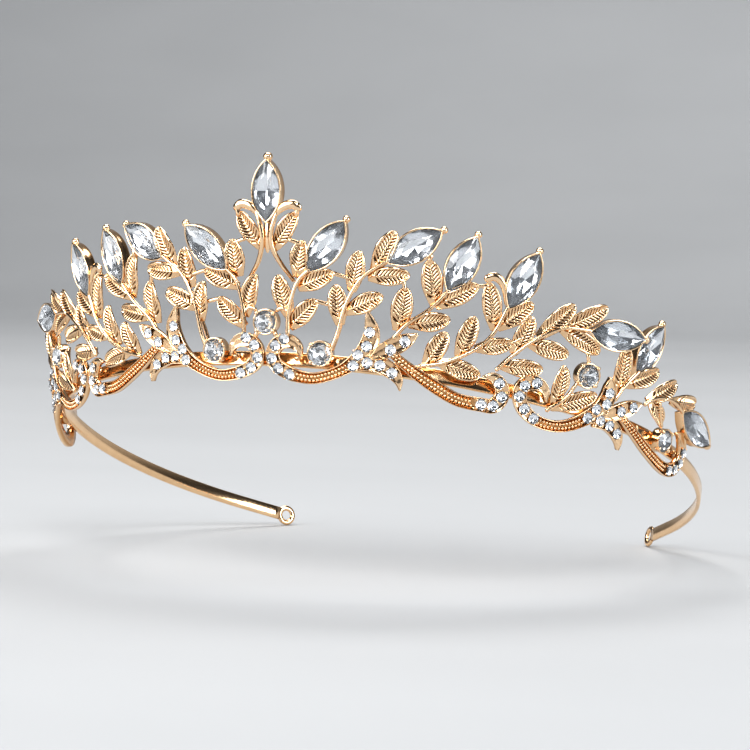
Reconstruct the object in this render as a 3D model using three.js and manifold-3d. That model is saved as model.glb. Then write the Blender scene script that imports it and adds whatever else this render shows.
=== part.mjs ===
// A gilded bridal tiara with leaf sprays, beaded scrolls and foiled crystals.
//
// The ornament is laid out flat first. A place on it is (s, h, o): s runs along the band from the centre
// front, positive to the right as seen from in front, h is the height above the lowest scrolls, and o
// stands outwards from the sheet in which the castings lie. sheet() bends that layout round the head.
// Everything on the right is made once and mirrored for the left. Millimetres, +Z up, the front faces -Y.

import * as THREE from 'three';
import { mergeVertices } from 'three/addons/utils/BufferGeometryUtils.js';
import Module from 'manifold-3d';

const wasm = await Module();
wasm.setup();

const rad = THREE.MathUtils.degToRad;
const X_AXIS = new THREE.Vector3( 1, 0, 0 );

// Headband: a horseshoe of tangent arcs from the centre front to each end, then a straight tab.

const PLAN_ARCS = [
	{ radius: 76, angle: rad( 49 ) },
	{ radius: 48, angle: rad( 29 ) },
	{ radius: 81, angle: rad( 50 ) },
];
const TAB_LENGTH = 9;
const BAND_HEIGHT = 3;
const BAND_BOTTOM = 4.2;
const BAND_THICKNESS = 0.9;
const BAND_STEP = 7;
const EYELET_RADIUS = 2.4;
const EYELET_HOLE = 1.1;
const EYELET_REACH = 1.9;
const EYELET_SIDES = 16;

// Ornament sheet: it flares outwards all round and is raked forwards as a whole.

const FLARE = rad( 12 );
const RAKE = rad( 10 );
const WORN_TILT = FLARE + RAKE;
const HEAD_CENTRE = { y: 64.5, z: BAND_BOTTOM + BAND_HEIGHT / 2 };

// Castings and stones.

const GAP = 0.3;
const TOLERANCE = 0.01;
const PLATE_BACK = - 0.5;
const PLATE_FRONT = 0.5;
const RIM = 0.35;
const CHANNEL_FLOOR = 0.1;
const RIBBON_LEAST_HALF = 0.05;
const CHANNEL_LEAST_HALF = 0.2;
const STEM_HALF = 0.45;
const LEAF_HALF = 0.4;
const LEAF_WIDTH = 3.4;
const LEAF_BASE = { reach: 0.15, swell: 1.15 };
const LEAF_TIP = { reach: 0.95, swell: 1.5 };
const NAVETTE = { length: 12, width: 5.7, middle: 5.85 };
const CUP_WALL = 0.35;
const CUP_FLOOR = 0.5;
const CUP_BACK = - 1.7;
const CUP_RIM = 0.5;
const CUP_TAPER = 0.3;
const ROOM_TAPER = 0.8;
const ROUND_RADIUS = 2.25;
const GIRDLE = 0.2;
const CROWN = 0.9;
const TABLE_SHARE = 0.6;
const CULET_SHARE = 0.4;
const STONE_RADIUS = 1.1;
const STONE_SIDES = 6;
const STONE_CROWN = 0.4;
const BED_HALF = 0.3;
const BED_INSET = 0.1;
const BEAD_RADIUS = 0.8;
const BEAD_REACH = 0.6;
const BEAD_DROP = - 0.5;
const POST_HALF = 0.6;
const POST_REACH = 3.5;

// The horseshoe and the sheet

function planAt( s ) {

	let rest = Math.abs( s );
	let heading = 0;
	const point = new THREE.Vector2();

	for ( const { radius, angle } of PLAN_ARCS ) {

		const turn = Math.min( rest / radius, angle );
		point.x += radius * ( Math.sin( heading + turn ) - Math.sin( heading ) );
		point.y += radius * ( Math.cos( heading ) - Math.cos( heading + turn ) );
		heading += turn;
		rest -= turn * radius;

	}

	point.x += rest * Math.cos( heading );
	point.y += rest * Math.sin( heading );

	const side = s < 0 ? - 1 : 1;
	return { x: side * point.x, y: point.y, heading: side * heading };

}

function planLength() {

	return PLAN_ARCS.reduce( ( sum, arc ) => sum + arc.radius * arc.angle, TAB_LENGTH );

}

function sheetFrame( s ) {

	const { x, y, heading } = planAt( s );
	const along = new THREE.Vector3( Math.cos( heading ), Math.sin( heading ), 0 );
	const up = new THREE.Vector3( Math.sin( heading ), - Math.cos( heading ), 0 );
	up.multiplyScalar( Math.sin( FLARE ) ).setZ( Math.cos( FLARE ) ).applyAxisAngle( X_AXIS, RAKE );
	const out = new THREE.Vector3().crossVectors( along, up ).normalize();
	return { foot: new THREE.Vector3( x, y, 0 ), up, out };

}

function sheet( s, h, o = 0 ) {

	const { foot, up, out } = sheetFrame( s );
	return foot.addScaledVector( up, h ).addScaledVector( out, o );

}

// Solids: a closed geometry becomes a manifold solid, and solids are joined, cut and turned back into meshes

function toSolid( geometry ) {

	geometry.deleteAttribute( 'normal' );
	geometry.deleteAttribute( 'uv' );
	const merged = mergeVertices( geometry );
	const vertProperties = new Float32Array( merged.attributes.position.array );
	const triVerts = new Uint32Array( merged.index.array );
	return new wasm.Manifold( new wasm.Mesh( { numProp: 3, vertProperties, triVerts } ) );

}

function join( solids ) {

	return solids.reduce( ( whole, solid ) => whole.add( solid ) );

}

function cut( solid, cutters ) {

	return cutters.reduce( ( whole, cutter ) => whole.subtract( cutter ), solid );

}

function largestPiece( solid ) {

	return solid.decompose().reduce( ( a, b ) => ( a.volume() > b.volume() ? a : b ) );

}

function toGeometry( solid ) {

	const { vertProperties, triVerts } = solid.asOriginal().simplify( TOLERANCE ).getMesh();
	const geometry = new THREE.BufferGeometry();
	geometry.setAttribute( 'position', new THREE.BufferAttribute( vertProperties, 3 ) );
	geometry.setIndex( new THREE.BufferAttribute( triVerts, 1 ) );
	return geometry;

}

function mirrored( geometry ) {

	const copy = geometry.clone().scale( - 1, 1, 1 );
	const index = copy.index.array;

	for ( let i = 0; i < index.length; i += 3 ) {

		[ index[ i ], index[ i + 1 ] ] = [ index[ i + 1 ], index[ i ] ];

	}

	return copy;

}

// Forms

function movePoints( geometry, move ) {

	const { position } = geometry.attributes;

	for ( let i = 0; i < position.count; i ++ ) {

		const p = move( position.getX( i ), position.getY( i ), position.getZ( i ) );
		position.setXYZ( i, p.x, p.y, p.z );

	}

	return geometry;

}

function plate( shape, back, front ) {

	const options = { depth: front - back, bevelEnabled: false, curveSegments: 4 };
	return new THREE.ExtrudeGeometry( shape, options ).translate( 0, 0, back );

}

function loft( rings ) {

	const count = rings[ 0 ].length;
	const index = [];

	for ( let r = 1; r < rings.length; r ++ ) {

		for ( let i = 0; i < count; i ++ ) {

			const j = ( i + 1 ) % count;
			const low = ( r - 1 ) * count;
			const high = r * count;
			index.push( low + i, low + j, high + j, low + i, high + j, high + i );

		}

	}

	const top = ( rings.length - 1 ) * count;

	for ( let i = 1; i < count - 1; i ++ ) {

		index.push( 0, i + 1, i, top, top + i, top + i + 1 );

	}

	const geometry = new THREE.BufferGeometry().setFromPoints( rings.flat() );
	geometry.setIndex( index );
	return geometry;

}

// A pointed oval of two equal arcs, with its points on the x axis

function navetteRing( length, width, z ) {

	const steps = 5;
	const [ a, b ] = [ length / 2, width / 2 ];
	const radius = ( a * a + b * b ) / ( 2 * b );
	const half = Math.asin( a / radius );
	const ring = [];

	for ( const flip of [ 1, - 1 ] ) {

		for ( let i = 0; i < steps; i ++ ) {

			const angle = half - 2 * half * i / steps;
			const y = radius * Math.cos( angle ) - radius + b;
			ring.push( new THREE.Vector3( flip * radius * Math.sin( angle ), flip * y, z ) );

		}

	}

	return ring;

}

function roundRing( radius, z, sides = 10 ) {

	return Array.from( { length: sides }, ( _, i ) => {

		const angle = 2 * Math.PI * i / sides;
		return new THREE.Vector3( radius * Math.cos( angle ), radius * Math.sin( angle ), z );

	} );

}

// A rigid form is drawn along +x from its base, faces +z, and is laid between two places on the sheet

function layMatrix( base, tip ) {

	const start = sheet( ...base );
	const along = sheet( ...tip ).sub( start ).normalize();
	const { out } = sheetFrame( ( base[ 0 ] + tip[ 0 ] ) / 2 );
	const across = new THREE.Vector3().crossVectors( out, along ).normalize();
	const facing = new THREE.Vector3().crossVectors( along, across );
	return new THREE.Matrix4().makeBasis( along, across, facing ).setPosition( start );

}

function standMatrix( place ) {

	const [ s, h, o = 0 ] = place;
	return layMatrix( place, [ s, h + 1, o ] );

}

// A ribbon follows a smooth line on the sheet, [ s, h, half width ] at each point, and bends with it

function ribbon( line, back, front, grow = 0 ) {

	const middle = new THREE.SplineCurve( line.map( ( [ s, h ] ) => new THREE.Vector2( s, h ) ) );
	const halves = new THREE.SplineCurve( line.map( ( [ , , half ], i ) => new THREE.Vector2( i, half ) ) );
	const count = ( line.length - 1 ) * 2;
	const left = [];
	const right = [];

	for ( let i = 0; i <= count; i ++ ) {

		const point = middle.getPoint( i / count );
		const tangent = middle.getTangent( i / count );
		const half = Math.max( halves.getPoint( i / count ).y, RIBBON_LEAST_HALF ) + grow;
		const offset = new THREE.Vector2( - tangent.y, tangent.x ).multiplyScalar( half );
		left.push( point.clone().add( offset ) );
		right.unshift( point.clone().sub( offset ) );

	}

	const flat = plate( new THREE.Shape( [ ...left, ...right ] ), back - grow, front + grow );
	return toSolid( movePoints( flat, sheet ) );

}

function arcLine( centre, radius, from, to, halves ) {

	return halves.map( ( half, i ) => {

		const angle = rad( from + ( to - from ) * i / ( halves.length - 1 ) );
		return [ centre[ 0 ] + radius * Math.cos( angle ), centre[ 1 ] + radius * Math.sin( angle ), half ];

	} );

}

function narrowed( line, by ) {

	const inner = line.map( ( [ s, h, half ] ) => [ s, h, half - by ] );
	return inner.filter( ( [ , , half ] ) => half > CHANNEL_LEAST_HALF );

}

// Leaves, stems and settings of a spray

function leaf( { base, tip, width = LEAF_WIDTH }, grow ) {

	const length = sheet( ...base ).distanceTo( sheet( ...tip ) );
	const half = width / 2 + grow;
	const low = [ length * LEAF_BASE.reach, half * LEAF_BASE.swell ];
	const high = [ length * LEAF_TIP.reach, half * LEAF_TIP.swell ];
	const shape = new THREE.Shape();
	shape.moveTo( - grow, 0 );
	shape.bezierCurveTo( low[ 0 ], - low[ 1 ], high[ 0 ], - high[ 1 ], length + grow, 0 );
	shape.bezierCurveTo( ...high, ...low, - grow, 0 );
	const flat = plate( shape, - LEAF_HALF - grow, LEAF_HALF + grow );
	return toSolid( flat.applyMatrix4( layMatrix( base, tip ) ) );

}

function stem( points, grow ) {

	return ribbon( points.map( ( [ s, h ] ) => [ s, h, STEM_HALF ] ), - STEM_HALF, STEM_HALF, grow );

}

function navetteMatrix( { base, tip } ) {

	const centre = new THREE.Matrix4().makeTranslation( NAVETTE.middle, 0, 0 );
	return layMatrix( base, tip ).multiply( centre );

}

function navetteOutline( outset, z ) {

	return navetteRing( NAVETTE.length + 2 * outset, NAVETTE.width + 2 * outset, z );

}

function navetteCup( gem, grow ) {

	const { bead = BEAD_RADIUS } = gem;
	const wall = GAP + CUP_WALL + grow;
	const body = loft( [
		navetteOutline( wall - CUP_TAPER, CUP_BACK - grow ),
		navetteOutline( wall, 0 ),
		navetteOutline( wall, CUP_RIM + grow ),
	] );
	const ball = new THREE.OctahedronGeometry( bead + grow, 1 );
	ball.translate( NAVETTE.length / 2 + BEAD_REACH, 0, BEAD_DROP );
	return join( [ body, ball ].map( ( form ) => toSolid( form.applyMatrix4( navetteMatrix( gem ) ) ) ) );

}

function navetteCrystal( gem ) {

	const { length, width } = NAVETTE;
	const rings = [
		navetteRing( length * CULET_SHARE, width * CULET_SHARE, CUP_BACK + CUP_FLOOR + GAP ),
		navetteRing( length, width, CUP_RIM - GIRDLE ),
		navetteRing( length, width, CUP_RIM ),
		navetteRing( length * TABLE_SHARE, width * TABLE_SHARE, CUP_RIM + CROWN ),
	];
	return toSolid( loft( rings ).applyMatrix4( navetteMatrix( gem ) ) );

}

function roundCup( place, grow ) {

	const wall = ROUND_RADIUS + GAP + CUP_WALL + grow;
	const body = loft( [
		roundRing( wall - CUP_TAPER, CUP_BACK - grow ),
		roundRing( wall, 0 ),
		roundRing( wall, CUP_RIM + grow ),
	] );
	return toSolid( body.applyMatrix4( standMatrix( place ) ) );

}

function roundCrystal( place ) {

	const rings = [
		roundRing( ROUND_RADIUS * CULET_SHARE, CUP_BACK + CUP_FLOOR + GAP ),
		roundRing( ROUND_RADIUS, CUP_RIM - GIRDLE ),
		roundRing( ROUND_RADIUS, CUP_RIM ),
		roundRing( ROUND_RADIUS * TABLE_SHARE, CUP_RIM + CROWN ),
	];
	return toSolid( loft( rings ).applyMatrix4( standMatrix( place ) ) );

}

// The room that a crystal needs in and over its cup, which no gold may enter

function crystalRooms( { gem, leftGem, round } ) {

	const rooms = [ gem, leftGem ].filter( Boolean ).map( ( item ) => toSolid( loft( [
		navetteOutline( GAP - ROOM_TAPER, CUP_BACK + CUP_FLOOR ),
		navetteOutline( GAP, 0 ),
		navetteOutline( GAP, CUP_RIM + CROWN + GAP ),
	] ).applyMatrix4( navetteMatrix( item ) ) ) );

	if ( round ) {

		const radius = ROUND_RADIUS + GAP;
		const room = loft( [
			roundRing( radius - ROOM_TAPER, CUP_BACK + CUP_FLOOR ),
			roundRing( radius, 0 ),
			roundRing( radius, CUP_RIM + CROWN + GAP ),
		] );
		rooms.push( toSolid( room.applyMatrix4( standMatrix( round ) ) ) );

	}

	return rooms;

}

// A casting is its stems, straps, leaves, lines and cups together; grown, it is the room it keeps clear

function casting( layout, grow = 0 ) {

	const { stems = [], straps = [], leaves = [], lines = [], posts = [], gem, round } = layout;
	const parts = [
		...stems.map( ( points ) => stem( points, grow ) ),
		...leaves.map( ( item ) => leaf( item, grow ) ),
		...[ ...straps, ...lines ].map( ( line ) => ribbon( line, PLATE_BACK, PLATE_FRONT, grow ) ),
		...posts.map( post ),
	];

	if ( gem ) parts.push( navetteCup( gem, grow ) );
	if ( round ) parts.push( roundCup( round, grow ) );

	if ( grow > 0 ) return join( parts );

	const channels = lines.map( ( line ) => ribbon( narrowed( line, RIM ), CHANNEL_FLOOR, 2 * PLATE_FRONT ) );
	return cut( join( parts ), channels );

}

// A soldering post on the back of a scroll, reaching towards the headband

function post( s ) {

	const h = BAND_BOTTOM + BAND_HEIGHT / 2;
	return ribbon( [ [ s - POST_HALF, h, POST_HALF ], [ s + POST_HALF, h, POST_HALF ] ], - POST_REACH, 0 );

}

// Beads of foiled glass set along a scroll, all joined by the thin bed that they were cast on

function stoneRow( { line, twigs = [] }, grow = 0 ) {

	const culet = CHANNEL_FLOOR + GAP;
	const girdle = PLATE_FRONT + GAP;
	const places = [ ...line, ...twigs.flatMap( ( twig ) => twig.slice( 1 ) ) ];
	const stones = places.map( ( spot ) => toSolid( loft( [
		roundRing( STONE_RADIUS * CULET_SHARE + grow, culet - grow, STONE_SIDES ),
		roundRing( STONE_RADIUS + grow, girdle, STONE_SIDES ),
		roundRing( STONE_RADIUS * TABLE_SHARE + grow, girdle + STONE_CROWN + grow, STONE_SIDES ),
	] ).applyMatrix4( standMatrix( spot ) ) ) );
	const beds = [ line, ...twigs ].map( ( points ) => {

		const bed = points.map( ( [ s, h ] ) => [ s, h, BED_HALF ] );
		return ribbon( bed, culet + BED_INSET, girdle - BED_INSET, grow );

	} );
	return join( [ ...stones, ...beds ] );

}

// Layout of the right half

const SCROLLS = [
	{
		posts: [ 6.6, 17.4 ],
		lines: [
			[ ...arcLine( [ 4.5, 6.1 ], 2.9, - 5, 245, [ 0.1, 0.95, 1.4, 1.45, 1.45, 1.45, 1.4 ] ),
				[ 6.2, 2.3, 1.3 ], [ 10.5, 2, 1.15 ], [ 15.4, 3.9, 1.2 ], [ 18.7, 6.6, 1.5 ],
				[ 20.6, 9.6, 1.75 ], [ 21.1, 12.3, 1.5 ], [ 20.5, 14.6, 0.9 ], [ 20, 16.2, 0.2 ] ],
			[ [ 18.8, 5.6, 1.2 ], [ 22.4, 6.1, 1.7 ], [ 25.2, 5.1, 1.6 ], [ 26.8, 3.4, 1 ], [ 27.3, 1.4, 0.15 ] ],
			[ [ 20.6, 6.6, 0.9 ], [ 23.4, 8.6, 1.5 ], [ 26.1, 10.3, 1.7 ], [ 28.3, 11.8, 1.2 ], [ 29.8, 13.1, 0.2 ] ],
		],
	},
	{
		posts: [ 29.4, 47.2 ],
		lines: [
			[ [ 25, 8.6, 0.8 ], [ 29.2, 5.8, 1.15 ], [ 33.6, 3.5, 1.35 ], [ 38.6, 1.6, 1.35 ],
				...arcLine( [ 44.4, 4.4 ], 3, 255, 475, [ 1.4, 1.45, 1.45, 1.45, 1.1, 0.1 ] ) ],
		],
	},
	{
		posts: [ 51, 67.6 ],
		lines: [
			[ ...arcLine( [ 53.7, 5.3 ], 2.9, - 8, 215, [ 0.1, 0.95, 1.4, 1.45, 1.45, 1.45 ] ),
				[ 52.6, 2.1, 1.4 ], [ 55.2, 0.9, 1.25 ], [ 58.8, 0.7, 1.15 ], [ 62.4, 1.8, 1.2 ], [ 66.4, 4.5, 1.4 ],
				[ 68.9, 7.2, 1.7 ], [ 69.8, 9.8, 1.7 ], [ 69.8, 11.8, 1.35 ], [ 69.4, 13.4, 0.2 ] ],
			[ [ 67.4, 3.8, 1.1 ], [ 70.6, 4.3, 1.5 ], [ 73, 3.6, 1.6 ], [ 74.4, 2, 1.1 ], [ 74.9, 0.1, 0.15 ] ],
			[ [ 69, 5.2, 0.9 ], [ 72, 6.8, 1.5 ], [ 74.9, 8.5, 1.6 ], [ 76.9, 9.8, 1.1 ], [ 78.4, 10.8, 0.15 ] ],
		],
	},
	{
		posts: [ 78.9, 96.4 ],
		round: [ 88.2, 6 ],
		lines: [
			[ [ 74, 6.6, 0.8 ], [ 78.7, 4.3, 1.1 ], [ 82.4, 2.7, 1.2 ], [ 85.8, 1.7, 1.25 ], [ 89, 1.1, 1.3 ],
				[ 92.4, 1.2, 1.4 ], [ 95.2, 2.4, 1.4 ], [ 96.7, 4.8, 1.4 ], [ 96.2, 7.3, 1.4 ],
				[ 94.4, 8.8, 1.05 ], [ 92.4, 8.9, 0.1 ] ],
		],
	},
];

const STONE_ROWS = [
	{ name: 'pave_spiral_1', line: [ [ 4, 9.4 ], [ 2.2, 8 ], [ 1.5, 5.5 ], [ 2.9, 3.5 ], [ 5.2, 2.4 ] ] },
	{
		name: 'pave_trefoil_1',
		line: [ [ 18.7, 7.4 ], [ 20.6, 6.1 ], [ 23.1, 5.9 ], [ 25.5, 4.7 ] ],
		twigs: [
			[ [ 20.6, 6.1 ], [ 20.3, 9.3 ], [ 20.7, 12.1 ] ],
			[ [ 20.6, 6.1 ], [ 24.9, 9.2 ], [ 27.5, 11.2 ] ],
			[ [ 20.6, 6.1 ], [ 17.9, 5.2 ] ],
		],
	},
	{ name: 'pave_spiral_2', line: [ [ 43.4, 1.6 ], [ 45.8, 1.8 ], [ 47.3, 3.9 ], [ 46.5, 6.4 ] ] },
	{ name: 'pave_spiral_3', line: [ [ 54, 8.2 ], [ 51.6, 7.1 ], [ 50.8, 4.8 ], [ 52.2, 2.6 ], [ 54.4, 1.2 ] ] },
	{
		name: 'pave_trefoil_3',
		line: [ [ 65.9, 4.2 ], [ 68.9, 4.5 ], [ 71.3, 4.1 ], [ 73.5, 3.1 ] ],
		twigs: [
			[ [ 68.9, 4.5 ], [ 67.5, 6.4 ], [ 69.6, 8 ], [ 69.8, 10.3 ] ],
			[ [ 68.9, 4.5 ], [ 73.4, 7.6 ], [ 76.2, 9.3 ] ],
		],
	},
];

const SPRAYS = [
	{
		stems: [ [ [ 4.6, 10.2 ], [ 4.7, 15 ], [ 6.2, 20.6 ], [ 8.8, 23.6 ] ] ],
		gem: { base: [ 8.5, 23.2 ], tip: [ 14.9, 33.4 ] },
		leftGem: { base: [ 8.5, 23.2 ], tip: [ 16.6, 32.7, 1.6 ] },
		leaves: [
			{ base: [ 5.9, 21.5 ], tip: [ 7.1, 29 ], width: 3.65 },
			{ base: [ 6.2, 19.6 ], tip: [ 13.2, 23 ] },
			{ base: [ 4.7, 13.6 ], tip: [ 2.2, 22 ], width: 3.3 },
			{ base: [ 4.7, 11.6 ], tip: [ 10.2, 17.4 ], width: 3.3 },
		],
	},
	{
		stems: [ [ [ 13.2, 7.6 ], [ 14.4, 11 ], [ 15.8, 17 ], [ 18.6, 22.6 ], [ 23.8, 27 ] ] ],
		round: [ 11.2, 6.9 ],
		gem: { base: [ 23.3, 26.3 ], tip: [ 32.8, 33.9 ] },
		leaves: [
			{ base: [ 14.8, 12.8 ], tip: [ 13.7, 20.8 ], width: 3.2 },
			{ base: [ 16.6, 19.6 ], tip: [ 17.9, 27.8 ], width: 3.3 },
			{ base: [ 15.6, 15.6 ], tip: [ 22.7, 19.5 ], width: 3.3 },
			{ base: [ 20.6, 24.2 ], tip: [ 24.2, 32.4 ] },
			{ base: [ 19.6, 22.8 ], tip: [ 27.4, 24.2 ], width: 3.3 },
		],
	},
	{
		stems: [ [ [ 25.2, 11.4 ], [ 27.6, 14.6 ], [ 31.6, 18.2 ], [ 35.1, 22.8 ] ] ],
		gem: { base: [ 34.7, 22.3 ], tip: [ 39, 34 ] },
		leaves: [
			{ base: [ 25.9, 13 ], tip: [ 26.8, 21.8 ], width: 3.65 },
			{ base: [ 32.6, 19 ], tip: [ 30.6, 27.8 ], width: 3.65 },
			{ base: [ 32.6, 19 ], tip: [ 40.2, 24.5 ], width: 3.55 },
			{ base: [ 27.8, 14.6 ], tip: [ 35.7, 16.9 ], width: 3.3 },
		],
	},
	{
		stems: [ [ [ 30.6, 6.8 ], [ 35.5, 8.4 ], [ 41, 12 ], [ 44.2, 16 ], [ 46.4, 22 ] ] ],
		straps: [
			[ [ 45.8, 22, 0.4 ], [ 45.2, 24.6, 0.65 ], [ 44.2, 26.2, 0.8 ], [ 42.8, 26.8, 0.9 ], [ 41.5, 26, 0.75 ] ],
		],
		gem: { base: [ 46.4, 21.6 ], tip: [ 50.8, 33.6 ] },
		leaves: [
			{ base: [ 31.8, 7.2 ], tip: [ 35.3, 14.3 ], width: 3.3 },
			{ base: [ 38, 9.8 ], tip: [ 40.2, 18.4 ], width: 3.3 },
			{ base: [ 41, 12 ], tip: [ 48.2, 14.8 ], width: 2.85 },
			{ base: [ 34.4, 8.2 ], tip: [ 42.7, 6.9 ], width: 3.2 },
			{ base: [ 44.4, 16.4 ], tip: [ 42, 25.5 ], width: 3.3 },
			{ base: [ 44.8, 17 ], tip: [ 51, 23.4 ], width: 3.3 },
		],
	},
	{
		stems: [ [ [ 45.6, 8.9 ], [ 48.4, 12.4 ], [ 52.4, 16.4 ], [ 57.6, 20 ], [ 64.2, 21.2 ] ] ],
		gem: { base: [ 63.6, 20.9 ], tip: [ 75, 22.9, 1.6 ] },
		leaves: [
			{ base: [ 48.6, 12.6 ], tip: [ 51.3, 20.8 ], width: 3.2 },
			{ base: [ 53, 17 ], tip: [ 59.3, 25.2 ], width: 3.3 },
			{ base: [ 58, 20 ], tip: [ 66.2, 26.6 ], width: 3.3 },
			{ base: [ 46.6, 9.8 ], tip: [ 55, 11 ], width: 3.1 },
			{ base: [ 51.4, 15.4 ], tip: [ 59.8, 15.1 ], width: 3.1 },
			{ base: [ 57.6, 19.8 ], tip: [ 66.3, 17.4 ], width: 3.2 },
		],
	},
	{
		stems: [ [ [ 57, 3.4 ], [ 60.4, 6.6 ], [ 62.6, 10.6 ] ] ],
		round: [ 64.5, 12.3 ],
		leaves: [
			{ base: [ 58.6, 4.6 ], tip: [ 59.3, 13 ], width: 2.95 },
			{ base: [ 58.2, 4.2 ], tip: [ 67.5, 9.2 ], width: 3.1 },
		],
	},
	{
		stems: [ [ [ 71.6, 9.4 ], [ 73.4, 13 ], [ 76, 16.6 ] ] ],
		gem: { base: [ 75.6, 15.8, - 0.4 ], tip: [ 81.1, 28.1, - 1.4 ] },
		leaves: [
			{ base: [ 72, 10.8 ], tip: [ 71.8, 20.8 ], width: 3.2 },
			{ base: [ 73.8, 13 ], tip: [ 81.6, 18.4 ], width: 3.4 },
		],
	},
	{
		stems: [ [ [ 79.4, 10.8 ], [ 82.6, 13.2 ], [ 88, 14.2 ], [ 93.6, 13.2 ] ] ],
		gem: { base: [ 92.8, 13.2 ], tip: [ 104, 10.3, 2.8 ] },
		leaves: [
			{ base: [ 80.6, 11.8 ], tip: [ 88, 18.2 ], width: 3.3 },
			{ base: [ 81.2, 12.7 ], tip: [ 86.2, 8.6 ], width: 3.1 },
			{ base: [ 88.4, 14.2 ], tip: [ 97.8, 16.8 ], width: 3.2 },
		],
	},
];

// Half of the centre spray: a stem bowed round the middle, a curled shoulder and a leaf

const CENTRE_STEM = [ [ 2.1, 34.6 ], [ 1.6, 33 ], [ 0.95, 30.6 ], [ 1, 27.6 ], [ 2.3, 24.3 ] ];
const CENTRE_SHOULDER = [
	[ 1.7, 33.8, 0.45 ], [ 2.8, 35.1, 0.75 ], [ 4, 35.8, 0.85 ], [ 5.3, 35.9, 0.9 ], [ 6.2, 35.1, 0.75 ],
];
const CENTRE_LEAF = [ [ 1.2, 27 ], [ 5.8, 34.4 ] ];

const onSide = ( side, points ) => points.map( ( [ s, ...rest ] ) => [ side * s, ...rest ] );

const CENTRE_SPRAY = {
	stems: [ 1, - 1 ].map( ( side ) => onSide( side, CENTRE_STEM ) ),
	straps: [ 1, - 1 ].map( ( side ) => onSide( side, CENTRE_SHOULDER ) ),
	leaves: [ 1, - 1 ].map( ( side ) => {

		const [ base, tip ] = onSide( side, CENTRE_LEAF );
		return { base, tip };

	} ),
	gem: { base: [ 0, 32.6 ], tip: [ 0, 45 ], bead: 1 },
};
const CENTRE_CUP = { round: [ 0, 12.6 ], stems: [ [ [ - 2.4, 9.6 ], [ 0, 11.2 ], [ 2.4, 9.6 ] ] ] };

// Headband: a flat strip on edge, with an eyelet at each end

function headband( grow = 0 ) {

	const end = planLength();
	const steps = Math.round( end / BAND_STEP );
	const outer = [];
	const inner = [];

	for ( let i = - steps; i <= steps; i ++ ) {

		const { x, y, heading } = planAt( end * i / steps );
		const inwards = new THREE.Vector2( - Math.sin( heading ), Math.cos( heading ) );
		outer.push( new THREE.Vector2( x, y ).addScaledVector( inwards, - grow ) );
		inner.unshift( new THREE.Vector2( x, y ).addScaledVector( inwards, BAND_THICKNESS + grow ) );

	}

	const outline = new THREE.Shape( [ ...outer, ...inner ] );
	const strip = toSolid( plate( outline, BAND_BOTTOM - grow, BAND_BOTTOM + BAND_HEIGHT + grow ) );

	if ( grow > 0 ) return strip;

	const ends = [ - end, end ];
	const discs = ends.map( ( s ) => eyelet( s, EYELET_RADIUS, BAND_THICKNESS ) );
	return cut( join( [ strip, ...discs ] ), ends.map( ( s ) => eyelet( s, EYELET_HOLE, 3 * BAND_THICKNESS ) ) );

}

function eyelet( s, radius, thickness ) {

	const { x, y, heading } = planAt( s );
	const disc = new THREE.CylinderGeometry( radius, radius, thickness, EYELET_SIDES );
	disc.translate( Math.sign( s ) * EYELET_REACH, BAND_THICKNESS / 2, 0 ).rotateZ( heading );
	return toSolid( disc.translate( x, y, BAND_BOTTOM + BAND_HEIGHT / 2 ) );

}

// Assembly: castings are soldered together on the real piece, and each keeps a small gap here

const GOLD = { color: 0xe2b07a, roughness: 0.24, metalness: 1 };
const BAND_GOLD = { color: 0xd9a566, roughness: 0.16, metalness: 1 };
const CRYSTAL = { color: 0xeef3f8, roughness: 0.03, metalness: 0.1 };

const ornament = new THREE.Group();
ornament.position.set( 0, - HEAD_CENTRE.y, - HEAD_CENTRE.z );

function addMesh( name, geometry, look ) {

	const mesh = new THREE.Mesh( geometry, new THREE.MeshStandardMaterial( look ) );
	mesh.name = name;
	ornament.add( mesh );

}

function addPair( name, right, look, left = right ) {

	addMesh( `${ name }_right`, toGeometry( right ), look );
	addMesh( `${ name }_left`, mirrored( toGeometry( left ) ), look );

}

function addCrystalPairs( name, { gem, leftGem = gem, round } ) {

	if ( gem ) addPair( `navette_crystal_${ name }`, navetteCrystal( gem ), CRYSTAL, navetteCrystal( leftGem ) );
	if ( round ) addPair( `round_crystal_${ name }`, roundCrystal( round ), CRYSTAL );

}

addMesh( 'headband', toGeometry( headband() ), BAND_GOLD );

// Each casting is cut back from the band, from all crystals and from the castings placed before it

const bandRoom = headband( GAP );
const kept = [ ...SCROLLS, ...SPRAYS, CENTRE_SPRAY, CENTRE_CUP ].flatMap( crystalRooms );

function place( layout ) {

	const solid = largestPiece( cut( casting( layout ), [ bandRoom, ...kept ] ) );
	kept.push( casting( layout, GAP ) );
	return solid;

}

STONE_ROWS.forEach( ( row ) => {

	addPair( row.name, stoneRow( row ), CRYSTAL );
	kept.push( stoneRow( row, GAP ) );

} );

SCROLLS.forEach( ( layout, i ) => {

	addPair( `scroll_${ i + 1 }`, place( layout ), GOLD );
	addCrystalPairs( `scroll_${ i + 1 }`, layout );

} );

// One setting leans further out on the left than its partner does on the right

SPRAYS.forEach( ( layout, i ) => {

	const { gem, leftGem } = layout;
	const left = leftGem && cut( casting( { ...layout, gem: leftGem } ), [ bandRoom, ...kept ] );
	const right = place( layout );

	if ( gem && leftGem ) kept.push( navetteCup( leftGem, GAP ) );

	addPair( `branch_${ i + 1 }`, right, GOLD, left ? largestPiece( left ) : right );
	addCrystalPairs( `branch_${ i + 1 }`, layout );

} );

// The centre pieces lie between the two halves, so they are cut back from both

kept.push( ...kept.map( ( room ) => toSolid( mirrored( toGeometry( room ) ) ) ) );

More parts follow.
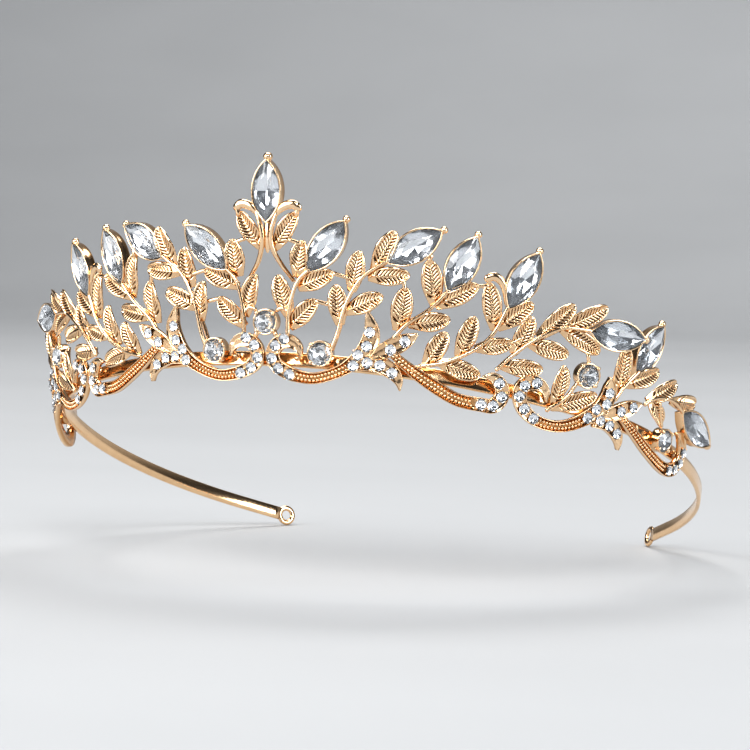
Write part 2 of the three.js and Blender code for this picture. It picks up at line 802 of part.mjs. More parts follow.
addMesh( 'centre_spray', toGeometry( place( CENTRE_SPRAY ) ), GOLD );
addMesh( 'navette_crystal_centre', toGeometry( navetteCrystal( CENTRE_SPRAY.gem ) ), CRYSTAL );
addMesh( 'centre_cup', toGeometry( place( CENTRE_CUP ) ), GOLD );
addMesh( 'round_crystal_centre', toGeometry( roundCrystal( CENTRE_CUP.round ) ), CRYSTAL );

// The band plane tilts up at the front, as it does on a head, which stands the centre front upright

const tiara = new THREE.Group();
tiara.rotation.x = - WORN_TILT;
tiara.add( ornament );

export default tiara;
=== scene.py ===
# The bridal tiara's visible surfaces, on the frame of its CAD model.
#
# Shapes are laid out flat, in millimetres, as in the CAD source. A place is (s, h, o): s runs along the
# band from the centre front, positive to the right as seen from in front, h is the height above the lowest
# scrolls, and o stands outwards from the sheet in which the castings lie. bend() lays that layout round
# the head, and worn() turns it into the row's frame, in metres. The right side is built once and mirrored.

import math

import bpy
import numpy as np
from mathutils import Matrix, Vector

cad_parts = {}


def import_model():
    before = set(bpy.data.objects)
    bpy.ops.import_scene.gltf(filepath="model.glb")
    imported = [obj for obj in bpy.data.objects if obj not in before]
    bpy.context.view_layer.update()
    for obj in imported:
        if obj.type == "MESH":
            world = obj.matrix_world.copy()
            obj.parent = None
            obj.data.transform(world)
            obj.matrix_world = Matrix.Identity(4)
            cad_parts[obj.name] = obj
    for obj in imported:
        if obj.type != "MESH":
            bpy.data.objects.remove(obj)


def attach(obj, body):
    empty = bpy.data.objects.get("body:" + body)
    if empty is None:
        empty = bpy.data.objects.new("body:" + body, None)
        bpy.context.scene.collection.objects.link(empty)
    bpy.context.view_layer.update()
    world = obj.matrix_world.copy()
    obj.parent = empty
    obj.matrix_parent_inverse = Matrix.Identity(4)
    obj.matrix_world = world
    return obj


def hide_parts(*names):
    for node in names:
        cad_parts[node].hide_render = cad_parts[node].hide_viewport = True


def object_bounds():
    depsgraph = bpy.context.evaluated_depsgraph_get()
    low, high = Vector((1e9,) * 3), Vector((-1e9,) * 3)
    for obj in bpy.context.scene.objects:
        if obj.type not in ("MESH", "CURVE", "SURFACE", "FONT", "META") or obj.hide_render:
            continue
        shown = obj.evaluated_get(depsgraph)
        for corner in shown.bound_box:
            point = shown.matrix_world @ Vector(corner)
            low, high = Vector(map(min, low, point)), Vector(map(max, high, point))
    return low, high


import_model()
cad_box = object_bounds()

# Driving sizes, in millimetres and degrees, as in the CAD source

MM = 0.001
PLAN_ARCS = ((76, 49), (48, 29), (81, 50))
TAB_LENGTH = 9
BAND_HEIGHT = 3
BAND_BOTTOM = 4.2
BAND_THICKNESS = 0.9
EYELET_RADIUS = 2.4
EYELET_HOLE = 1.1
FLARE = math.radians(12)
RAKE = math.radians(10)
WORN_TILT = FLARE + RAKE
HEAD_CENTRE = (0, 64.5, BAND_BOTTOM + BAND_HEIGHT / 2)

NAVETTE_LENGTH = 12
NAVETTE_WIDTH = 5.75
NAVETTE_MIDDLE = 5.85
ROUND_RADIUS = 2.25
PAVE_RADIUS = 1.12

RIM_WIDTH = 0.3
CHANNEL_FLOOR = 0.12
STONE_FLOOR = 0.7
LEAF_THICKNESS = 0.5
VEIN_PITCH = 0.78
VEIN_DEPTH = 0.34
VEIN_LEAN = 0.95
VEIN_ROWS = (0.0, 0.09, 0.18, 0.5, 0.82, 0.91)
VEIN_CUT = (1.0, 0.85, 0.0, 0.0, 0.0, 0.85)
LEAF_SWELL = 1.2
LEAF_ROLL = math.radians(7)
RIM_HEIGHT = 0.22
RIB_HEIGHT = 0.14
GRAIN_PITCH = 0.76
GRAIN_RADIUS = 0.32
GRAIN_OFFSET = 0.38
CLAW_COUNT = 4
STEM_RADII = (0.44, 0.38)
STEM_LIFT = 0.12
NUB_RADIUS = 0.42


# The sheet

def plan(s):
    """Where the band's plan runs at s: x, y and heading, for an array of s."""
    rest = np.abs(s)
    heading = np.zeros_like(rest)
    x = np.zeros_like(rest)
    y = np.zeros_like(rest)
    for radius, degrees in PLAN_ARCS:
        turn = np.minimum(rest / radius, math.radians(degrees))
        x += radius * (np.sin(heading + turn) - np.sin(heading))
        y += radius * (np.cos(heading) - np.cos(heading + turn))
        heading = heading + turn
        rest = rest - turn * radius
    x += rest * np.cos(heading)
    y += rest * np.sin(heading)
    side = np.where(np.asarray(s) < 0, -1.0, 1.0)
    return side * x, y, side * heading


def plan_length():
    return TAB_LENGTH + sum(radius * math.radians(degrees) for radius, degrees in PLAN_ARCS)


def unit(v):
    return v / np.linalg.norm(v, axis=-1, keepdims=True)


def sheet_axes(s):
    """The foot, upward and outward directions of the sheet at s."""
    x, y, heading = plan(s)
    along = np.stack([np.cos(heading), np.sin(heading), 0 * x], -1)
    ux = np.sin(heading) * math.sin(FLARE)
    uy = -np.cos(heading) * math.sin(FLARE)
    uz = math.cos(FLARE)
    raked_y = uy * math.cos(RAKE) - uz * math.sin(RAKE)
    raked_z = uy * math.sin(RAKE) + uz * math.cos(RAKE)
    up = np.stack([ux, raked_y, raked_z], -1)
    out = unit(np.cross(along, up))
    return np.stack([x, y, 0 * x], -1), up, out


def bend(places):
    """Places (..., 3) on the flat layout to points round the band, in millimetres."""
    places = np.asarray(places, float)
    foot, up, out = sheet_axes(places[..., 0])
    return foot + up * places[..., 1:2] + out * places[..., 2:3]


def worn(points):
    """Points in the band's own frame, in millimetres, to the row's frame, in metres."""
    p = np.asarray(points, float) - np.array(HEAD_CENTRE)
    c, s = math.cos(-WORN_TILT), math.sin(-WORN_TILT)
    return np.stack([p[..., 0], p[..., 1] * c - p[..., 2] * s, p[..., 1] * s + p[..., 2] * c], -1) * MM


def lay(base, tip, roll=0.0):
    """The frame of a rigid form that runs from one place to another: origin and three axes."""
    ends = bend([full(base), full(tip)])
    along = unit(ends[1] - ends[0])
    middle = np.array([(base[0] + tip[0]) / 2])
    out = sheet_axes(middle)[2][0]
    across = unit(np.cross(out, along))
    facing = np.cross(along, across)
    turned = across * math.cos(roll) + facing * math.sin(roll)
    return ends[0], along, turned, np.cross(along, turned)


def full(place):
    return (*place, 0.0) if len(place) == 2 else place


def put(local, axes):
    """Local points (x along, y across, z out) laid by a frame from lay()."""
    origin, along, across, out = axes
    local = np.asarray(local, float)
    return origin + local[..., 0:1] * along + local[..., 1:2] * across + local[..., 2:3] * out


def smooth_line(points, pitch):
    """A Catmull-Rom line through points of any dimension, sampled about every pitch millimetres."""
    p = np.asarray(points, float)
    p = np.vstack([2 * p[0] - p[1], p, 2 * p[-1] - p[-2]])
    line = []
    for i in range(1, len(p) - 2):
        a, b, c, d = p[i - 1], p[i], p[i + 1], p[i + 2]
        steps = max(2, int(np.linalg.norm(c[:2] - b[:2]) / pitch))
        for t in np.arange(steps) / steps:
            line.append(0.5 * (2 * b + (c - a) * t + (2 * a - 5 * b + 4 * c - d) * t ** 2
                               + (3 * b - a - 3 * c + d) * t ** 3))
    line.append(p[-2])
    return np.array(line)


def ramp(x, low, high):
    t = np.clip((np.asarray(x, float) - low) / (high - low), 0, 1)
    return t * t * (3 - 2 * t)


# Meshes

def outward(points, faces):
    """The faces of a closed skin, turned to look away from what it encloses."""
    fans = np.array([(face[0], a, b) for face in faces for a, b in zip(face[1:], face[2:])])
    corners = points[fans]
    volume = np.sum(corners[:, 0] * np.cross(corners[:, 1], corners[:, 2]))
    return faces if volume > 0 else [face[::-1] for face in faces]


class Work:
    """Gathers the surfaces of one piece, in the band's frame, in millimetres."""

    def __init__(self):
        self.points = []
        self.faces = []
        # Painted shade per point, from 0 (unshaded) to 1 (deepest painted shade), kept for the mesh
        # attribute below.
        self.worn = []
        self.slots = []
        self.smooth = []
        self.count = 0

    def add(self, points, faces, painted_shade=0.0, slot=0, smooth=True):
        points = np.asarray(points, float).reshape(-1, 3)
        self.points.append(points)
        self.worn.append(np.broadcast_to(np.asarray(painted_shade, float).reshape(-1), (len(points),)))
        self.faces += [tuple(i + self.count for i in face) for face in faces]
        self.slots += [slot] * len(faces)
        self.smooth += [smooth] * len(faces)
        self.count += len(points)

    def rings(self, rings, painted_shade=0.0, close=False):
        """A smooth skin over rings (n, k, 3) of points, capped at both ends or closed on itself, with
        painted shade per point.
        """
        n, k = rings.shape[:2]
        faces = []
        for r in range(n if close else n - 1):
            low, high = r * k, ((r + 1) % n) * k
            for i in range(k):
                j = (i + 1) % k
                faces.append((low + i, low + j, high + j, high + i))
        if not close:
            faces.append(tuple(range(k))[::-1])
            faces.append(tuple(range((n - 1) * k, n * k)))
        self.add(rings, outward(rings.reshape(-1, 3), faces), painted_shade)

    def object(self, name, materials, mirror=False):
        points = worn(np.vstack(self.points))
        faces = self.faces
        if mirror:
            points = points * np.array([-1, 1, 1])
            faces = [face[::-1] for face in faces]
        mesh = bpy.data.meshes.new(name)
        mesh.from_pydata(points.tolist(), [], faces)
        for material in materials:
            mesh.materials.append(material)
        mesh.polygons.foreach_set("material_index", self.slots)
        mesh.polygons.foreach_set("use_smooth", self.smooth)
        # The painted shade goes onto the mesh as an attribute that the gold material's shade ramp reads.
        painted_shade = mesh.attributes.new("painted_shade", "FLOAT", "POINT")
        painted_shade.data.foreach_set("value", np.concatenate(self.worn))
        mesh.update()
        piece = bpy.data.objects.new(name, mesh)
        bpy.context.scene.collection.objects.link(piece)
        return piece


def ball(work, centre, axes, radii, rings=6, sides=10):
    """An ellipsoid at a local point of a laid frame."""
    angle = np.linspace(0, math.pi, rings + 1)[1:-1]
    turn = np.arange(sides) * 2 * math.pi / sides
    local = np.stack([
        np.outer(np.cos(angle), np.ones(sides)) * radii[0],
        np.outer(np.sin(angle), np.cos(turn)) * radii[1],
        np.outer(np.sin(angle), np.sin(turn)) * radii[2],
    ], -1) + np.asarray(centre, float)
    local = local[::-1]
    ends = np.array(centre) + np.array([[-radii[0], 0, 0], [radii[0], 0, 0]])
    n = rings - 1
    points = np.vstack([local.reshape(-1, 3), ends])
    faces = []
    for r in range(n - 1):
        for i in range(sides):
            j = (i + 1) % sides
            faces.append((r * sides + i, r * sides + j, (r + 1) * sides + j, (r + 1) * sides + i))
    for i in range(sides):
        j = (i + 1) % sides
        faces.append((n * sides, j, i))
        faces.append((n * sides + 1, (n - 1) * sides + i, (n - 1) * sides + j))
    work.add(put(points, axes), faces)


def wire(work, places, radii, lift=0.0, sides=10, pitch=0.45, flat=1.0):
    """A tapering wire along a smooth line of places (s, h) or (s, h, o)."""
    raw = [(*full(place)[:2], full(place)[2] + lift, radius) for place, radius in zip(places, radii)]
    line = smooth_line(raw, pitch)
    centre = bend(line[:, :3])
    tangent = unit(np.gradient(centre, axis=0))
    out = sheet_axes(line[:, 0])[2]
    side = unit(np.cross(out, tangent))
    lift_axis = np.cross(tangent, side)
    turn = np.arange(sides) * 2 * math.pi / sides
    radius = line[:, 3][:, None, None]
    rings = centre[:, None] + radius * (np.cos(turn)[None, :, None] * side[:, None]
                                        + flat * np.sin(turn)[None, :, None] * lift_axis[:, None])
    tips = centre[[0, -1]] + np.array([[-1.0], [1.0]]) * tangent[[0, -1]] * line[[0, -1], 3][:, None] * 0.6
    first = tips[0] + (rings[0] - centre[0]) * 0.4
    last = tips[1] + (rings[-1] - centre[-1]) * 0.4
    # Painted shade on the back half of the wire, the side that faces the sheet.
    painted_back_shade = 0.4 * ramp(-np.sin(turn), 0.2, 0.9)
    work.rings(np.vstack([first[None], rings, last[None]]), np.tile(painted_back_shade, len(rings) + 2))


# Gold forms

def leaf_half(t):
    """A cast leaf's half width along its length, as a share of its widest: broad foot, round tip."""
    t = np.clip(t, 0, 1)
    swell = np.sin(math.pi * t ** 1.25)
    return np.maximum(swell, 0) ** (0.8 - 0.32 * ramp(t, 0.35, 0.75)) + 0.46 * (1 - t) ** 2.2


def slanted_edge(x, lean, half, length):
    """How far from the midrib a vein that leaves it at x, leaning by lean, meets the leaf's outline."""
    near, far = 0 * x, 0 * x + 2 * half
    for _ in range(30):
        mid = (near + far) / 2
        place = (x + lean * mid) / length
        inside = np.where(place < 1, half * leaf_half(place), 0) > mid
        near, far = np.where(inside, mid, near), np.where(inside, far, mid)
    return near


def leaf(work, base, tip, width, lift, roll=0.0):
    """A cast leaf: a blade folded along its midrib, with a raised rim and cut chevron veins."""
    axes = lay((*full(base)[:2], full(base)[2] + lift), (*full(tip)[:2], full(tip)[2] + lift), roll)
    ends = bend([full(base), full(tip)])
    length = np.linalg.norm(ends[1] - ends[0])
    veins = int(0.9 * length / VEIN_PITCH)
    x = np.concatenate([(i + np.array(VEIN_ROWS)) * VEIN_PITCH for i in range(veins)])
    groove = np.tile(VEIN_CUT, veins)
    rest = length - veins * VEIN_PITCH
    x = np.concatenate([x, veins * VEIN_PITCH + rest * np.sin(np.linspace(0, 0.49, 10) * math.pi)])
    groove = np.concatenate([groove, np.zeros(10)])[:, None]
    t = x / length
    lean = VEIN_LEAN * ramp(t, 0.0, 0.25)
    edge = slanted_edge(x, lean, width * LEAF_SWELL / 2, length)
    v = np.array([0.0, 0.05, 0.11, 0.3, 0.52, 0.7, 0.77, 0.84, 0.92, 1.0])
    v = np.concatenate([-v[:0:-1], v])
    away = np.abs(v)
    t = t[:, None]
    y = edge[:, None] * v
    open_up = ramp(t, 0.0, 0.35)

    def blade(y):
        fold = (0.62 * open_up - 0.25) * np.abs(y) - 0.09 * open_up * y * y
        return fold - 0.55 * (2 * t - 1) ** 2 + 0.2

    tip_rim = ramp(t, 0.88, 0.93)
    rim = np.maximum(ramp(away, 0.7, 0.8), tip_rim) * (1 - ramp(away, 0.88, 1.0)) * ramp(t, 0.1, 0.3)
    rim = rim * (1 - ramp(t, 0.975, 1.0))
    rib = (1 - ramp(away, 0.0, 0.12)) * (1 - tip_rim)
    field = ramp(away, 0.04, 0.12) * (1 - ramp(away, 0.68, 0.78)) * ramp(t, 0.12, 0.2) * (1 - tip_rim)
    front = blade(y) + RIM_HEIGHT * rim + RIB_HEIGHT * rib - VEIN_DEPTH * groove * field
    back_y = edge[:, None] * np.array([0.8, 0.4, 0.0, -0.4, -0.8])
    ring_y = np.concatenate([y, back_y], 1)
    ring_x = x[:, None] + lean[:, None] * np.abs(ring_y)
    ring_z = np.concatenate([front, blade(back_y) - LEAF_THICKNESS], 1)
    # Painted shade: dark in the cut veins, faint over the vein field and towards the foot, and 0.4 over the
    # back of the blade.
    front_painted_shade = np.maximum(groove * field, 0.06 * field) + 0.12 * (1 - open_up)
    painted_shade = np.concatenate([front_painted_shade, 0 * back_y + 0.4], 1)
    work.rings(put(np.stack([ring_x, ring_y, ring_z], -1), axes), painted_shade)


def pointed_oval(length, width, angles):
    """Two equal arcs that meet at the tips on the x axis."""
    a, b = length / 2, width / 2
    radius = (a * a + b * b) / (2 * b)
    x = a * np.cos(angles)
    y = np.sign(np.sin(angles)) * (np.sqrt(np.maximum(radius ** 2 - x ** 2, 0)) - (radius - b))
    return x, np.where(np.abs(np.sin(angles)) < 1e-9, 0.0, y)


def lens_ring(length, width, z, count=48):
    x, y = pointed_oval(length, width, np.arange(count) * 2 * math.pi / count)
    return np.stack([x, y, 0 * x + z], -1)


def circle_ring(radius, z, count=32):
    angle = np.arange(count) * 2 * math.pi / count
    return np.stack([radius * np.cos(angle), radius * np.sin(angle), 0 * angle + z], -1)


# Across and out offsets of a setting's section, from the back round to the inside, and the painted shade on
# each: darkest on the back and deep inside, none over the rim
CUP_PAINTED_SHADE = (0.4, 0.4, 0.4, 0.35, 0.2, 0.1, 0, 0, 0, 0, 0, 0.2, 0.4, 0.4)
CUP_PROFILE = ((-1.0, -1.72), (-0.1, -1.74), (0.2, -1.68), (0.3, -1.5), (0.26, -0.6),
               (0.3, 0.1), (0.38, 0.4), (0.36, 0.52), (0.26, 0.6), (0.08, 0.58),
               (-0.02, 0.46), (-0.1, 0.2), (-0.5, -0.6), (-1.2, -1.1))


def cup_painted_shade(rings):
    return np.repeat(CUP_PAINTED_SHADE, len(rings[0]))


def navette_axes(base, tip):
    origin, along, across, out = lay(base, tip)
    return origin + along * NAVETTE_MIDDLE, along, across, out


def navette_setting(work, base, tip, bead=0.8):
    """A boat-shaped cup with a burnished rim, and a ball with a collar at its tip."""
    axes = navette_axes(base, tip)
    rings = [lens_ring(NAVETTE_LENGTH + 2.2 * more, NAVETTE_WIDTH + 2 * more, z)
             for more, z in CUP_PROFILE]
    work.rings(put(np.array(rings), axes), cup_painted_shade(rings))
    end = NAVETTE_LENGTH / 2
    ball(work, (end + 0.1, 0, -0.5), axes, (0.5, 0.7, 0.7))
    tip_ball = (end + 0.35 + 0.4 * bead, 0, -0.45)
    ball(work, tip_ball, axes, (0.9 * bead, bead, bead), rings=10, sides=16)


def round_axes(place):
    s, h, o = full(place)
    return lay((s, h, o), (s, h + 1, o))


def round_setting(work, place):
    """A tapered cup with four claws bent over the crystal's girdle."""
    axes = round_axes(place)
    rings = [circle_ring(ROUND_RADIUS + more, z) for more, z in CUP_PROFILE]
    work.rings(put(np.array(rings), axes), cup_painted_shade(rings))
    for i in range(CLAW_COUNT):
        angle = math.pi / CLAW_COUNT + i * 2 * math.pi / CLAW_COUNT
        c, s = math.cos(angle), math.sin(angle)
        reach = ROUND_RADIUS + 0.22
        ball(work, (c * reach, s * reach, 0.72), axes, (0.42, 0.42, 0.4))
        ball(work, (c * (reach + 0.12), s * (reach + 0.12), 0.2), axes, (0.36, 0.36, 0.7))


def channel_section(half, filled):
    """The scroll's section: across and out offsets of a channel between two rounded rims."""
    rim = np.minimum(RIM_WIDTH, half * 0.7)
    shallow = np.maximum(1 - ramp(half, 0.35, 0.75), filled)
    floor = CHANNEL_FLOOR + (0.46 - CHANNEL_FLOOR) * shallow
    one = np.ones_like(half)
    dome = 0.14 * np.minimum(filled, 1 - filled) * ramp(half, 0.7, 1.2)
    right = [((half - rim) * 0.4, floor + 2 * dome), (half - rim, floor), (half - rim * 0.88, 0.42 * one),
             (half - rim * 0.6, 0.58 * one), (half - rim * 0.25, 0.56 * one), (half * 1.0, 0.36 * one),
             (half + 0.02, 0.0 * one), (half * 1.0, -0.35 * one), (half - rim * 0.5, -0.55 * one)]
    left = [(-across, out) for across, out in right[::-1]]
    return right + left, 1 - shallow


def scroll_line(work, line, beaded=None, solid=(0, 2.2)):
    """A swept channel along [s, h, half width], with two rows of grains between two lengths along it."""
    run = smooth_line(line, 0.3)
    flat = run[:, :2]
    half = np.maximum(run[:, 2], 0.06)
    length = np.concatenate([[0], np.cumsum(np.linalg.norm(np.diff(flat, axis=0), axis=1))])
    tangent = unit(np.gradient(flat, axis=0))
    normal = np.stack([-tangent[:, 1], tangent[:, 0]], -1)
    low, high = beaded or (0, 0)
    before = 1 - ramp(length, low - 0.5, low + 0.1)
    after = ramp(length, high - 0.1, high + 0.5)
    filled = STONE_FLOOR * np.maximum(before, after)
    for reach, away in zip(solid, (length, length[-1] - length)):
        if reach:
            filled = np.maximum(filled, 1 - ramp(away, reach - 0.5, reach + 0.5))
    section, open_floor = channel_section(half, filled)
    rings = [np.concatenate([flat + normal * across[:, None], out[:, None]], 1) for across, out in section]
    rings = np.stack(rings, 1)
    # Painted shade: darker on the open channel floor, and on the lower outer walls and the back of the
    # scroll.
    inside = np.array([1.0, 1.0] + [0.0] * 14 + [1.0, 1.0])
    outside = np.array([0.0] * 6 + [0.2] + [0.4] * 4 + [0.2] + [0.0] * 6)
    work.rings(bend(rings), open_floor[:, None] * inside * 0.42 + outside)
    if beaded:
        granules(work, flat, normal, half, length, beaded)


def granules(work, flat, normal, half, length, span):
    """Two staggered rows of cast grains in the channel, over a span of its length."""
    start, end = span
    for i in range(int((end - start) / GRAIN_PITCH * 2)):
        at = start + i * GRAIN_PITCH / 2
        columns = (flat[:, 0], flat[:, 1], normal[:, 0], normal[:, 1])
        here = [np.interp(at, length, column) for column in columns]
        room = np.interp(at, length, half) - RIM_WIDTH
        if room > 0.2:
            side = (1 if i % 2 else -1) * min(GRAIN_OFFSET, room * 0.5)
            place = (here[0] + here[2] * side, here[1] + here[3] * side, 0.34)
            size = min(GRAIN_RADIUS, room * 0.6)
            ball(work, (0, 0, 0), round_axes(place), (size, size, size), rings=6, sides=8)


def arc_line(centre, radius, start, end, halves):
    angles = np.radians(np.linspace(start, end, len(halves)))
    return [(centre[0] + radius * math.cos(a), centre[1] + radius * math.sin(a), half)
            for a, half in zip(angles, halves)]


# Crystals: a glass crown over a foiled pavilion

def facets(work, outline, axes, girdle, crown, pavilion, table=0.56, kite=0.8):
    """A brilliant cut on any outline: outline(angles, scale, z) gives its points."""
    step = 2 * math.pi / 8
    eight = np.arange(8) * step
    top = outline(eight, table, girdle + crown)
    star = outline(eight + step / 2, kite, girdle + crown * 0.52)
    edge = outline(np.arange(16) * step / 2, 1.0, girdle)
    under = outline(eight, 0.5, girdle - pavilion * 0.55)
    culet = outline(np.array([0.0]), 0.0, girdle - pavilion)
    points = np.vstack([top, star, edge, under, culet])
    t, m, g, n, c = 0, 8, 16, 32, 40
    faces = [tuple(range(8))]
    for i in range(8):
        j, h = (i + 1) % 8, (i - 1) % 8
        faces.append((t + i, m + i, t + j))
        faces.append((t + i, m + h, g + 2 * i, m + i))
        faces.append((m + i, g + 2 * i, g + 2 * i + 1))
        faces.append((m + i, g + 2 * i + 1, g + 2 * j))
    crown_count = len(faces)
    for i in range(8):
        j = (i + 1) % 8
        faces.append((g + 2 * i, n + i, g + 2 * i + 1))
        faces.append((g + 2 * i + 1, n + j, g + 2 * j))
        faces.append((g + 2 * i + 1, n + i, n + j))
        faces.append((n + i, c, n + j))
    work.add(put(points, axes), faces, smooth=False)
    foiled = len(faces) - crown_count
    work.slots[-foiled:] = [1] * foiled


def lens_outline(angles, scale, z):
    x, y = pointed_oval(NAVETTE_LENGTH, NAVETTE_WIDTH, angles)
    return np.stack([x * scale, y * scale, 0 * x + z], -1)


def disc_outline(size):
    def outline(angles, scale, z):
        return np.stack([size * scale * np.cos(angles), size * scale * np.sin(angles), 0 * angles + z], -1)
    return outline


def navette_crystal(work, base, tip):
    facets(work, lens_outline, navette_axes(base, tip), 0.5, 0.9, 0.85, table=0.5, kite=0.76)


def round_crystal(work, place):
    facets(work, disc_outline(ROUND_RADIUS + 0.02), round_axes(place), 0.5, 0.8, 1.0)


def pave_crystal(work, place):
    s, h = place[:2]
    facets(work, disc_outline(PAVE_RADIUS), round_axes((s, h, 0.0)), 0.7, 0.34, 0.25)


def pave_grains(work, place):
    """Four grains raised from the metal that hold a small crystal."""
    s, h = place[:2]
    axes = round_axes((s, h, 0.0))
    reach = PAVE_RADIUS + 0.04
    for i in range(CLAW_COUNT):
        angle = math.pi / CLAW_COUNT + i * 2 * math.pi / CLAW_COUNT
        spot = (math.cos(angle) * reach, math.sin(angle) * reach, 0.6)
        ball(work, spot, axes, (0.25, 0.25, 0.28), rings=5, sides=8)


# Layout of the right half, as in the CAD source

SCROLLS = [
    {
        "lines": [
            [*arc_line((4.5, 6.1), 2.9, -5, 245, (0.1, 0.95, 1.4, 1.45, 1.45, 1.45, 1.4)),
             (6.2, 2.3, 1.3), (10.5, 2, 1.15), (15.4, 3.9, 1.2), (18.7, 6.6, 1.5),
             (20.6, 9.6, 1.75), (21.1, 12.3, 1.5), (20.5, 14.6, 0.9), (20, 16.2, 0.2)],
            [(18.8, 5.6, 1.2), (22.4, 6.1, 1.7), (25.2, 5.1, 1.6), (26.8, 3.4, 1.0), (27.3, 1.4, 0.15)],
            [(20.6, 6.6, 0.9), (23.4, 8.6, 1.5), (26.1, 10.3, 1.75), (28.3, 11.8, 1.2), (29.8, 13.1, 0.2)],
        ],
        "beaded": (15.9, 28),
        "solid": (2.6, 3.2),
        "posts": (6.6, 17.4),
    },
    {
        "lines": [
            [(25, 8.6, 0.8), (29.2, 5.8, 1.15), (33.6, 3.5, 1.35), (38.6, 1.6, 1.35),
             *arc_line((44.4, 4.4), 3, 255, 475, (1.4, 1.45, 1.45, 1.45, 1.1, 0.1))],
        ],
        "beaded": (0.8, 18.9),
        "solid": (0, 3.0),
        "posts": (29.4, 47.2),
    },
    {
        "lines": [
            [*arc_line((53.7, 5.3), 2.9, -8, 215, (0.1, 0.95, 1.4, 1.45, 1.45, 1.45)),
             (52.6, 2.1, 1.4), (55.2, 0.9, 1.25), (58.8, 0.7, 1.15), (62.4, 1.8, 1.2), (66.4, 4.5, 1.4),
             (68.9, 7.2, 1.7), (69.8, 9.8, 1.7), (69.8, 11.8, 1.35), (69.4, 13.4, 0.2)],
            [(67.4, 3.8, 1.1), (70.6, 4.3, 1.5), (73, 3.6, 1.6), (74.4, 2, 1.1), (74.9, 0.1, 0.15)],
            [(69, 5.2, 0.9), (72, 6.8, 1.5), (74.9, 8.5, 1.6), (76.9, 9.8, 1.1), (78.4, 10.8, 0.15)],
        ],
        "beaded": (16.4, 27),
        "solid": (2.6, 2.6),
        "posts": (51, 67.6),
    },
    {
        "round": (88.2, 6),
        "lines": [
            [(74, 6.6, 0.8), (78.7, 4.3, 1.1), (82.4, 2.7, 1.2), (85.8, 1.7, 1.25), (89, 1.1, 1.3),
             (92.4, 1.2, 1.4), (95.2, 2.4, 1.4), (96.7, 4.8, 1.4), (96.2, 7.3, 1.4),
             (94.4, 8.8, 1.05), (92.4, 8.9, 0.1)],
        ],
        "beaded": (0.8, 18.4),
        "solid": (0, 2.6),
        "stones": [(92.5, 1.2), (94.8, 2.1), (96.4, 3.9), (96.7, 6.2)],
        "posts": (78.9, 96.4),
    },
]

STONE_ROWS = {
    "pave_spiral_1": (0, [(4, 9.4), (2.2, 8), (1.5, 5.5), (2.9, 3.5), (5.2, 2.4)]),
    "pave_trefoil_1": (0, [(18.7, 7.4), (20.6, 6.1), (23.1, 5.9), (25.5, 4.7), (20.3, 9.3), (20.7, 12.1),
                           (24.9, 9.2), (27.5, 11.2), (17.9, 5.2)]),
    "pave_spiral_2": (1, [(43.4, 1.6), (45.8, 1.8), (47.3, 3.9), (46.5, 6.4)]),
    "pave_spiral_3": (2, [(54, 8.2), (51.6, 7.1), (50.8, 4.8), (52.2, 2.6), (54.4, 1.2)]),
    "pave_trefoil_3": (2, [(65.9, 4.2), (68.9, 4.5), (71.3, 4.1), (73.5, 3.1), (67.5, 6.4), (69.6, 8),
                           (69.8, 10.3), (73.4, 7.6), (76.2, 9.3)]),
}

